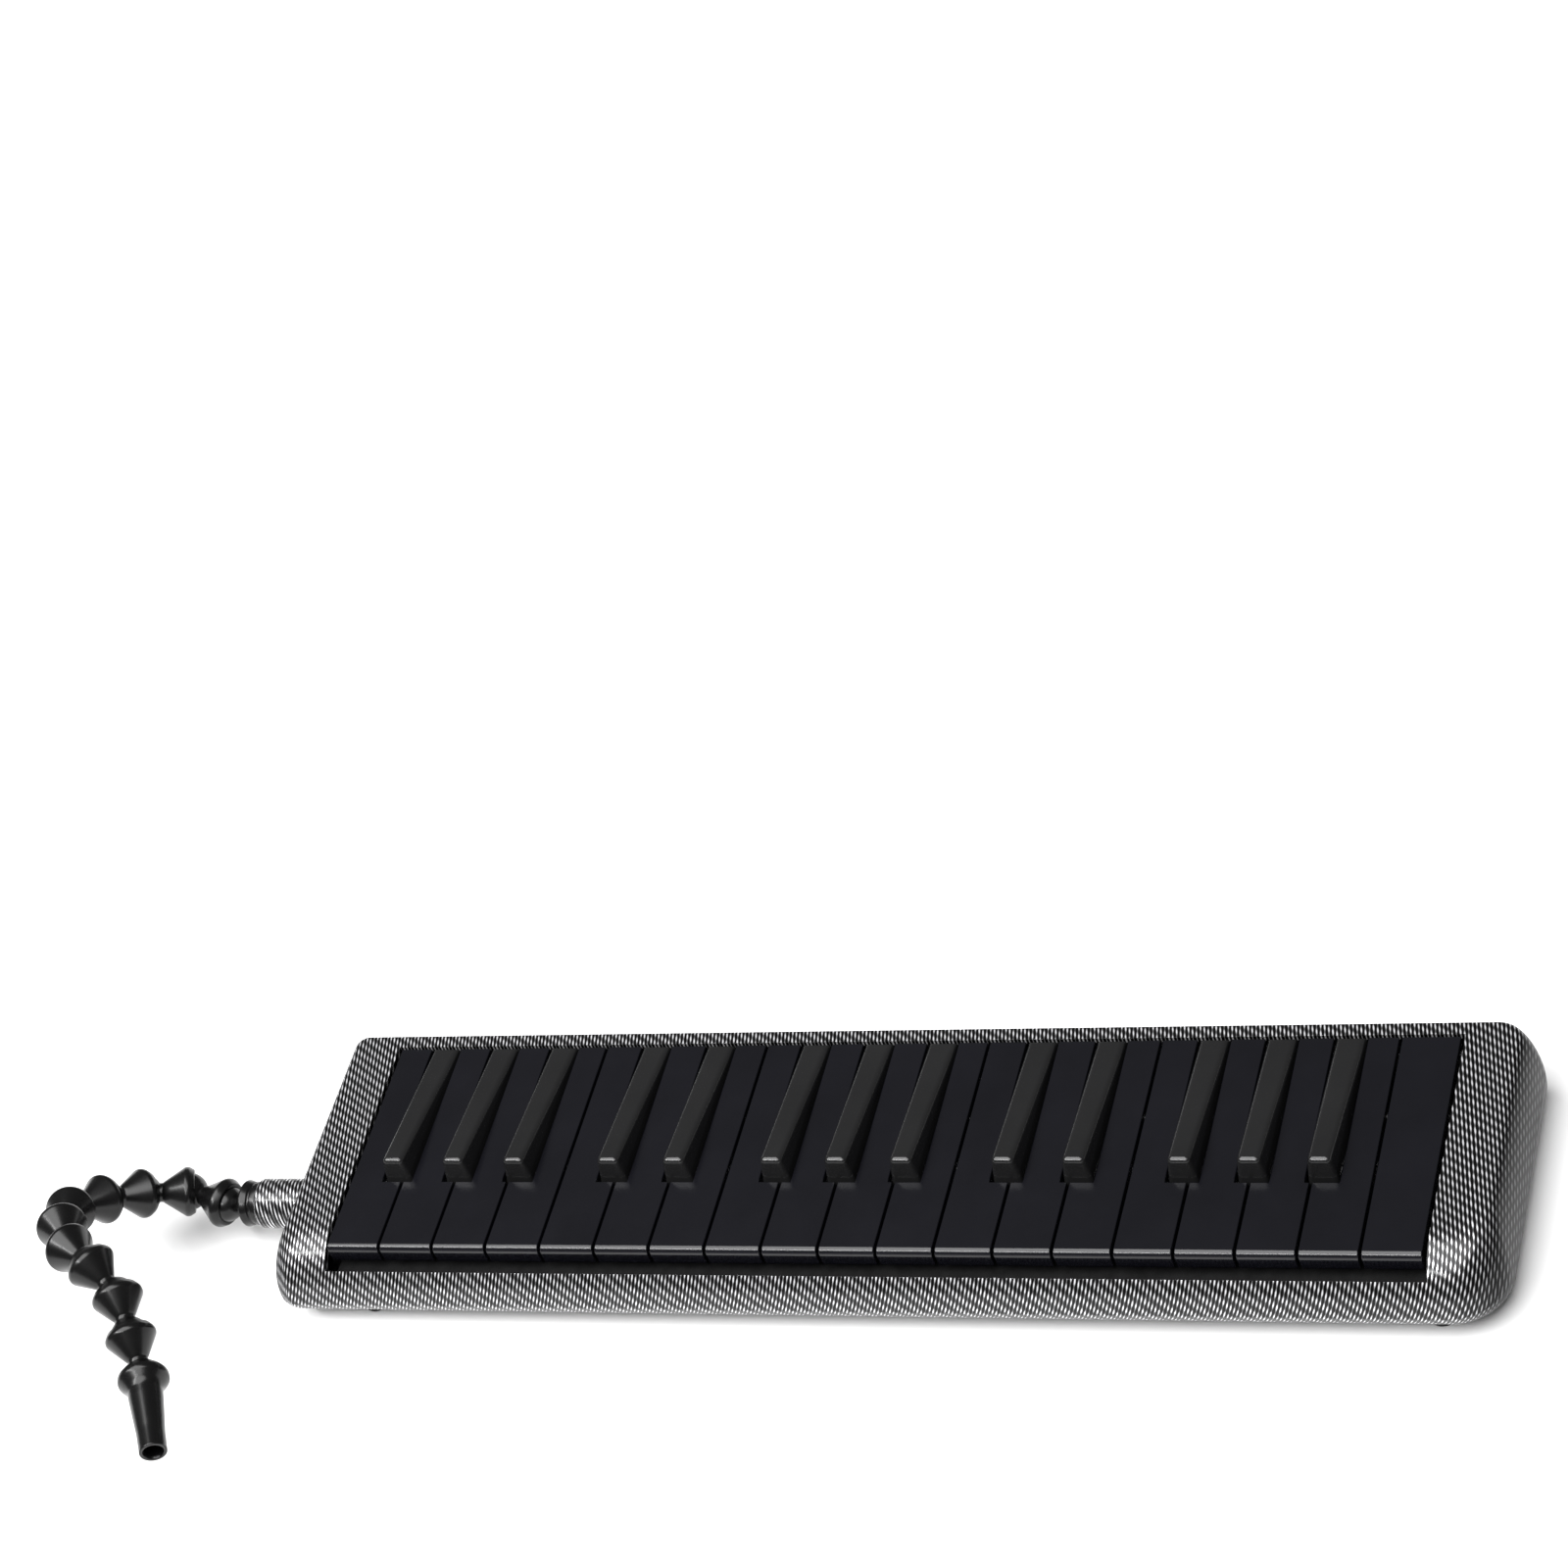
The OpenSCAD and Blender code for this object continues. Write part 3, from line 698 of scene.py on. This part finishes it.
def make_bottom_cover():
    shell = block("under_shell", 0.0, SHELL)
    cut(shell, block("tool", WALL, SHELL), "DIFFERENCE")
    cut(shell, seam_wedge(False, SHELL), "INTERSECT")
    boss_l = -END_X - INLET.x + 4
    ring = [(0, 0), (BOSS_R + 0.1, 0), (BOSS_R + 0.1, boss_l), (0, boss_l)]
    cut(shell, lathe_object("tool", ring, INLET, (1, 0, 0), SHELL), "DIFFERENCE")
    sink = [(0, -1), (3.0, -1), (2.6, 1.2), (1.4, 2.6), (1.4, 4), (0, 4)]
    for x, y in SCREWS:
        cut(shell, lathe_object("tool", sink, (x, y, 0), (0, 0, 1), SHELL, 32), "DIFFERENCE")
    seat = [(0, -1), (FOOT_R + 0.12, -1), (FOOT_R + 0.12, FOOT_SEAT), (0, FOOT_SEAT)]
    for x, y in FEET:
        cut(shell, lathe_object("tool", seat, (x, y, 0), (0, 0, 1), SHELL, 40), "DIFFERENCE")
    low, high = span("drain_button")
    middle = (low + high) / 2
    hole = [(0, -1), (KNOB_HOLE_R, -1), (KNOB_HOLE_R, 4), (0, 4)]
    cut(shell, lathe_object("tool", hole, (middle.x, middle.y, 0), (0, 0, 1), SHELL, 40), "DIFFERENCE")
    soften(shell, 0.35)
    reshade(shell)
    even_normals(shell)
    place(shell, "case", "shell", "bottom_cover")


def make_feet():
    bm = bmesh.new()
    profile = fillet([
        (0, -FOOT_H, 0), (FOOT_R, -FOOT_H, 0.8), (FOOT_R, FOOT_SEAT, 0.2), (0, FOOT_SEAT, 0),
    ])
    for x, y in FEET:
        add_lathe(bm, profile, (x, y, 0), (0, 0, 1), 40)
    place(finish_mesh(bm, "feet", RUBBER), "case", "rubber", "rubber_feet")


def make_drain_button():
    low, high = span("drain_button")
    middle = (low + high) / 2
    r = (high.x - low.x) / 2
    cap_z = low.z + KNOB_H
    disc_z = high.z - KNOB_DISC_T
    profile = fillet([
        (0, low.z + 0.5, 0), (1.6, low.z + 0.5, 0.2), (2.0, low.z, 0.2), (r, low.z, 0.6),
        (r, cap_z, 0.2), (KNOB_STEM_R, cap_z, 0), (KNOB_STEM_R, disc_z, 0),
        (KNOB_DISC_R, disc_z, 0.1), (KNOB_DISC_R, high.z, 0.2), (0, high.z, 0),
    ])
    button = lathe_object("drain_knob", profile, (middle.x, middle.y, 0), (0, 0, 1), SHELL)
    place(button, "drain_button", "shell", "drain_button")


make_top_cover()
make_bottom_cover()
make_feet()
make_drain_button()


# ---------------------------------------------------------------- keys

NATURAL_W = 19.0
NATURAL_T = 2.5
NATURAL_NOSE = 2.4
KEY_GAP = 1.0
SKIRT_T = 2.0
SKIRT_H = 7.0
NOTCH_W = 11.4
NOTCH_L = 58.8
SHARP_OFFSET = 0.8
SHARP_FOOT = 5.0
SHARP_TOP = 3.7
SHARP_LEAN = 2.0
SHARP_EDGE = 1.7
# heights on a sharp, from the naturals' tops: its lower edge, its waist and its back end
SHARP_SUNK = 3.0
SHARP_WAIST = 1.6
SHARP_BACK = 0.5
HUB_R = 3.6
HUB_W = 7.0
RIB_W = 3.0
RIB_Z = 21.0
PAD_T = 1.5
PAD_REACH = 18.0
PAD_R = 4.5


def add_lever(bm, key, front_y, plate_z, back_y, deck_z):
    """Rib, hub and pad arm under the key's top."""
    x = KEY_X[key]
    arm_z = deck_z + PAD_T
    pad_y = ROD.y + PAD_REACH
    add_box(bm, (x - RIB_W / 2, front_y, RIB_Z), (x + RIB_W / 2, back_y - 1, plate_z + 0.3))
    add_box(bm, (x - RIB_W / 2, pad_y - 3, arm_z), (x + RIB_W / 2, pad_y + 3, RIB_Z + 0.3))
    add_lathe(bm, [(0, arm_z), (PAD_R - 0.3, arm_z), (PAD_R - 0.3, arm_z + 1.2), (0, arm_z + 1.2)],
              (x, pad_y, 0), (0, 0, 1), 24)
    add_box(bm, (x - HUB_W / 2, ROD.y - HUB_R, ROD.z + 2), (x + HUB_W / 2, ROD.y + HUB_R, plate_z + 0.3))
    add_lathe(bm, [(1.55, 0), (HUB_R, 0), (HUB_R, HUB_W), (1.55, HUB_W)],
              (x - HUB_W / 2, ROD.y, ROD.z), (1, 0, 0), 32)


def make_pad(key, deck_z):
    x = KEY_X[key]
    pad_y = ROD.y + PAD_REACH
    profile = fillet([
        (0, deck_z, 0), (PAD_R, deck_z, 0.3), (PAD_R, deck_z + PAD_T, 0.3), (0, deck_z + PAD_T, 0),
    ], 3)
    pad = lathe_object(key + "_pad", profile, (x, pad_y, 0), (0, 0, 1), FELT, 32)
    place(pad, key, "felt")


def join_into(bm, obj):
    """Adds an object's mesh, back in millimetres, and removes the object."""
    mesh = obj.data
    start = len(bm.verts)
    bm.from_mesh(mesh)
    bm.verts.ensure_lookup_table()
    bmesh.ops.scale(bm, vec=(1 / MM,) * 3, verts=bm.verts[start:])
    bpy.data.objects.remove(obj)
    bpy.data.meshes.remove(mesh)


def natural_section(front_y, back_y, top, skirt_z):
    """Side section of a natural's top: rounded front edge, thin front skirt."""
    nose = NATURAL_NOSE
    points = [(back_y, top), (back_y, top - NATURAL_T), (front_y + SKIRT_T + 1.2, top - NATURAL_T)]
    points += [(front_y + SKIRT_T, top - NATURAL_T - 1.2), (front_y + SKIRT_T, skirt_z)]
    points += [(front_y + 0.5, skirt_z), (front_y, skirt_z + 0.5)]
    points += arc((front_y + nose, top - nose), nose, 180, 90, 8)
    return points


def make_natural(key):
    low, high = span(key)
    index = KEYS.index(key)
    centre = NATURAL_CENTRES[key]
    section = natural_section(low.y, high.y, high.z, high.z - SKIRT_H)
    bm = bmesh.new()
    ends = []
    for x in (centre - NATURAL_W / 2, centre + NATURAL_W / 2):
        ends.append([bm.verts.new((x, y, z)) for y, z in section])
    count = len(section)
    bm.faces.new(ends[0])
    bm.faces.new(ends[1][::-1])
    for i in range(count):
        j = (i + 1) % count
        bm.faces.new((ends[0][j], ends[0][i], ends[1][i], ends[1][j]))
    top = finish_mesh(bm, "tool_key", KEY)
    for near in (index - 1, index + 1):
        if 0 <= near < len(KEYS) and KEYS[near] in SHARPS:
            x = KEY_X[KEYS[near]] + SHARP_OFFSET
            notch = ((x - NOTCH_W / 2, high.y - NOTCH_L, 0), (x + NOTCH_W / 2, high.y + 9, TOP_Z + 9))
            cut(top, box_object(*notch, KEY), "DIFFERENCE")
    soften(top, 0.45, 40.0, 3)
    bm = bmesh.new()
    join_into(bm, top)
    add_lever(bm, key, low.y + 5, high.z - NATURAL_T, high.y, low.z)
    body = finish_mesh(bm, key + "_natural", KEY, 42.0)
    even_normals(body)
    place(body, key, "key_natural", key)
    make_pad(key, low.z)


def make_sharp(key):
    low, high = span(key)
    natural_top = span(NATURALS[0])[1].z
    x = KEY_X[key] + SHARP_OFFSET
    foot, top_half = SHARP_FOOT, SHARP_TOP
    waist_z = natural_top - SHARP_WAIST
    back_z = natural_top + SHARP_BACK
    back_half = foot - (foot - top_half) * (back_z - waist_z) / (high.z - waist_z)
    foot_z = natural_top - SHARP_SUNK
    y0, y1 = low.y, high.y
    rings = [
        [(-foot, y0, foot_z), (foot, y0, foot_z), (foot, y1, foot_z), (-foot, y1, foot_z)],
        [(-foot, y0, waist_z), (foot, y0, waist_z), (foot, y1, waist_z), (-foot, y1, waist_z)],
        [(-top_half, y0 + SHARP_LEAN, high.z), (top_half, y0 + SHARP_LEAN, high.z),
         (back_half, y1, back_z), (-back_half, y1, back_z)],
    ]
    bm = bmesh.new()
    loops = [[bm.verts.new((x + dx, y, z)) for dx, y, z in ring] for ring in rings]
    bm.faces.new(loops[0][::-1])
    bm.faces.new(loops[2])
    for a, b in zip(loops, loops[1:]):
        for i in range(4):
            j = (i + 1) % 4
            bm.faces.new((a[i], a[j], b[j], b[i]))
    bm.edges.ensure_lookup_table()
    crown = [e for e in bm.edges if all(v in loops[2] for v in e.verts)]
    front = [e for e in crown if all(v in loops[2][:2] for v in e.verts)]
    uprights = [
        e for e in bm.edges
        if {v in loops[2] for v in e.verts} == {True, False}
        and all(v.co.y < y0 + 4 for v in e.verts)
    ]
    sides = [e for e in crown if e not in front] + uprights
    bmesh.ops.bevel(bm, geom=front + sides, offset=SHARP_EDGE, segments=5, profile=0.5, affect="EDGES")
    add_lever(bm, key, y0 + 1, foot_z, y1, low.z)
    body = finish_mesh(bm, key + "_sharp", SHARP, 42.0)
    even_normals(body)
    place(body, key, "key_sharp", key)
    make_pad(key, low.z)


def natural_centres():
    """Middle of each natural: even steps across the keyboard."""
    first, last = span(NATURALS[0])[0].x, span(NATURALS[-1])[1].x
    pitch = (last - first + KEY_GAP) / len(NATURALS)
    return {k: first - KEY_GAP / 2 + pitch * (i + 0.5) for i, k in enumerate(NATURALS)}


NATURAL_CENTRES = natural_centres()
for name in NATURALS:
    make_natural(name)
for name in SHARPS:
    make_sharp(name)


# ---------------------------------------------------------------- blowing tube

CUP_R = 8.75
BALL_R = 6.6
CUP_GAP = 0.15
MOUTH = 2.0
NECK_R = 3.4
AIRWAY_R = 2.4
TIP_R = 4.7


def cup_inside():
    """Inner profile of a cup from its airway back out to its mouth."""
    r = BALL_R + CUP_GAP
    start = math.degrees(math.asin(-MOUTH / r))
    sphere = arc((0, 0), r, 50, start, 12)
    return [(AIRWAY_R, 9.0)] + [(a, b) for a, b in sphere]


def ball_outside(at):
    low = math.degrees(math.asin(-math.sqrt(BALL_R ** 2 - NECK_R ** 2) / BALL_R))
    high = math.degrees(math.asin(4.4 / BALL_R))
    return [(r, at + z) for r, z in arc((0, 0), BALL_R, low, high, 14)]


def link_profile(length):
    outside = fillet([
        (6.3, -MOUTH, 0), (7.55, -MOUTH, 0.35), (CUP_R, 0, 0.5), (CUP_R, 1.2, 0.5),
        (4.0, 8.6, 1.2), (NECK_R, 9.4, 0.6), (NECK_R, 10.2, 0),
    ], 4)[1:]
    return outside + ball_outside(length) + [(AIRWAY_R, length + 4.4)] + cup_inside()


def mouthpiece_profile(length):
    outside = fillet([
        (6.3, -MOUTH, 0), (7.4, -MOUTH, 0.35), (8.6, -0.3, 0.5), (CUP_R, 1.6, 0.8),
        (6.5, 4.6, 0.9), (5.9, 6.0, 0.6), (5.8, 9.0, 0.6), (TIP_R + 0.1, length - 8, 0.8),
        (TIP_R, length - 1.0, 0.6), (TIP_R, length, 0.5), (3.6, length, 0.4), (3.2, length - 1.2, 0.3),
        (3.2, length - 12, 0.4), (AIRWAY_R, length - 12.5, 0.2), (AIRWAY_R, 10, 0),
    ], 4)[1:]
    return outside + cup_inside()


def plug_profile(ball_at):
    spigot = 18.0
    outside = fillet([
        (AIRWAY_R, -spigot, 0), (INLET_R - 0.5, -spigot, 0.3), (INLET_R - 0.1, -spigot + 1.5, 0.4),
        (INLET_R - 0.1, 0.05, 0), (7.6, 0.05, 0.5), (7.6, 2.4, 0.5),
        (7.0, 2.7, 0.2), (7.0, 3.4, 0.2), (7.5, 3.8, 0.4), (8.3, 6.2, 0.7),
        (4.2, 9.0, 0.8), (NECK_R, 9.8, 0.3), (NECK_R, 10.0, 0),
    ], 4)
    return outside + ball_outside(ball_at) + [(AIRWAY_R, ball_at + 4.4)]


def make_tube():
    bends = sorted(n for n in JOINTS if n.startswith("tube_bend_"))
    points = [Vector(JOINTS[n]["pos_m"]) / MM for n in bends]
    plug = lathe_object("tube_plug_turned", plug_profile((points[0] - INLET).length), INLET,
                        points[0] - INLET, TUBE)
    place(plug, "tube_plug", "tube", "tube_plug")
    for i, link in enumerate(LINKS):
        along = points[i + 1] - points[i]
        piece = lathe_object(link + "_turned", link_profile(along.length), points[i], along, TUBE)
        place(piece, link, "tube", link)
    tip = next(m for m in frame["record"]["mounts"] if m["name"] == "mouthpiece_tip")
    along = Vector(tip["axis"])
    length = (Vector(tip["pos_m"]) / MM - points[-1]).length + 4.0
    piece = lathe_object("mouthpiece_turned", mouthpiece_profile(length), points[-1], along, TUBE)
    place(piece, "mouthpiece", "tube", "mouthpiece")


make_tube()


# ---------------------------------------------------------------- works that stay as CAD made them

KEPT = {
    "key_bed": INNER, "key_axle": STEEL, "spring_comb": STEEL, "key_felts": FELT,
    "reed_plate_bass": PLATE, "reed_plate_treble": PLATE, "reeds": BRASS,
    "plate_screws": STEEL, "chamber_gasket": RUBBER, "wind_chamber": CHAMBER,
    "drain_spring": STEEL, "case_screws": STEEL,
}
for name, material in KEPT.items():
    mesh = frame["nodes"][name].data
    mesh.materials.clear()
    mesh.materials.append(material)


# ---------------------------------------------------------------- stage and light


def make_floor():
    bm = bmesh.new()
    bmesh.ops.create_grid(bm, x_segments=4, y_segments=4, size=4000)
    low = span("rubber_feet")[0]
    bmesh.ops.translate(bm, vec=(0, 0, low.z - 0.05), verts=bm.verts)
    finish_mesh(bm, "floor", floor_material())


def softbox(name, at, aim, size, power, tint=(1, 1, 1)):
    data = bpy.data.lights.new(name, "AREA")
    data.shape = "RECTANGLE"
    data.size, data.size_y = size
    data.energy = power
    data.color = tint
    lamp = bpy.data.objects.new(name, data)
    lamp.location = at
    lamp.rotation_euler = (Vector(aim) - Vector(at)).to_track_quat("-Z", "Y").to_euler()
    bpy.context.scene.collection.objects.link(lamp)


def make_light():
    world = bpy.data.worlds.new("studio")
    world.use_nodes = True
    world.node_tree.nodes["Background"].inputs["Color"].default_value = (1, 1, 1, 1)
    world.node_tree.nodes["Background"].inputs["Strength"].default_value = 0.16
    bpy.context.scene.world = world
    softbox("overhead", (-0.2, -0.4, 2.25), (0, 0, 0), (3.0, 1.7), 100)
    softbox("strip", (-0.8, -1.1, 1.75), (0, 0, 0), (2.4, 0.14), 42)


make_floor()
make_light()
bpy.context.scene.view_settings.view_transform = "Standard"
